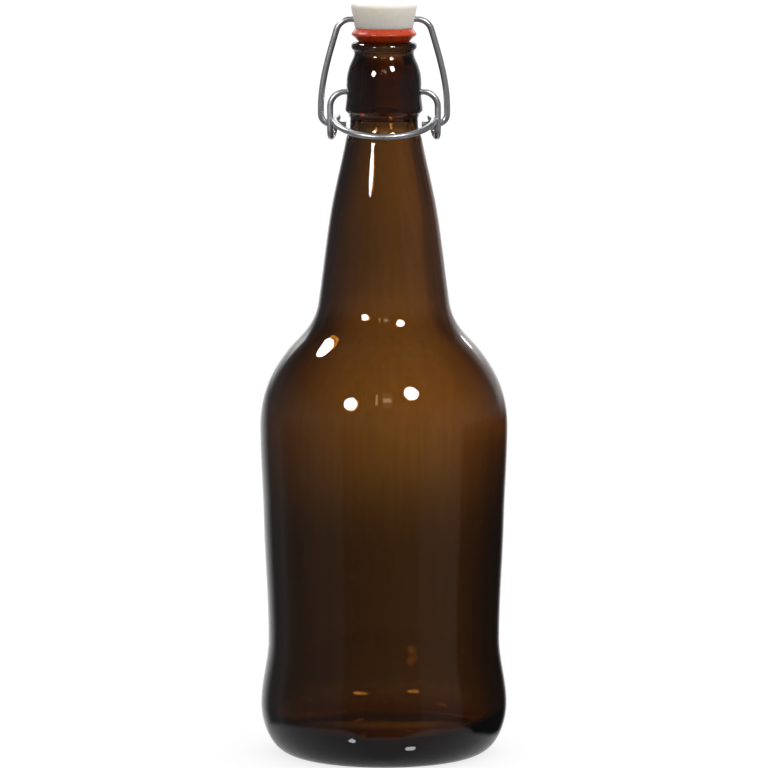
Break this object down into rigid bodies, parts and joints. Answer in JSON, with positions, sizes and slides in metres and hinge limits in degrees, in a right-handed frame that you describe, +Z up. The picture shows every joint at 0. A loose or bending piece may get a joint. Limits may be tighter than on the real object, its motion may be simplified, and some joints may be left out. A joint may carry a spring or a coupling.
{
  "type": "swing-top bottle",
  "caption": "Amber glass swing-top bottle, empty, with a long neck, a wire bail and lever, and a cream stopper with a rubber gasket that seals the mouth.",
  "frame": {"origin": "middle of the base, on the plane that the bottle stands on", "axes": "+Z up along the bottle's axis to the stopper; -Y is the front, where the thumb lever lies; X is along the lever's and the bail's hinge lines"},
  "size_m": [0.0992, 0.0992, 0.3016],
  "materials": {
    "glass": "clear amber container glass, fire polished",
    "stopper": "cream, moulded, half gloss",
    "gasket": "orange red, soft",
    "wire": "bright zinc plated drawn wire"
  },
  "bodies": {
    "bottle": {"bottle_glass": "glass"},
    "lever": {"lever": "wire"},
    "bail": {"bail": "wire"},
    "stopper": {"stopper": "stopper", "gasket": "gasket"}
  },
  "joints": [
    {"name": "lever_pivot", "type": "hinge", "parent": "bottle", "child": "lever", "pos_m": [0, 0, 0.2659], "axis": [-1, 0, 0], "range_deg": [0, 180]},
    {"name": "bail_pivot", "type": "hinge", "parent": "lever", "child": "bail", "pos_m": [0, 0.002, 0.2528], "axis": [1, 0, 0], "range_deg": [0, 124.2]},
    {"name": "stopper_swivel", "type": "hinge", "parent": "bail", "child": "stopper", "pos_m": [0, 0, 0.29475], "axis": [1, 0, 0], "range_deg": [0, 55.8]}
  ],
  "couplings": [
    {"joint": "bail_pivot", "follows": "lever_pivot", "ratio": 0.69},
    {"joint": "stopper_swivel", "follows": "lever_pivot", "ratio": 0.31}
  ]
}
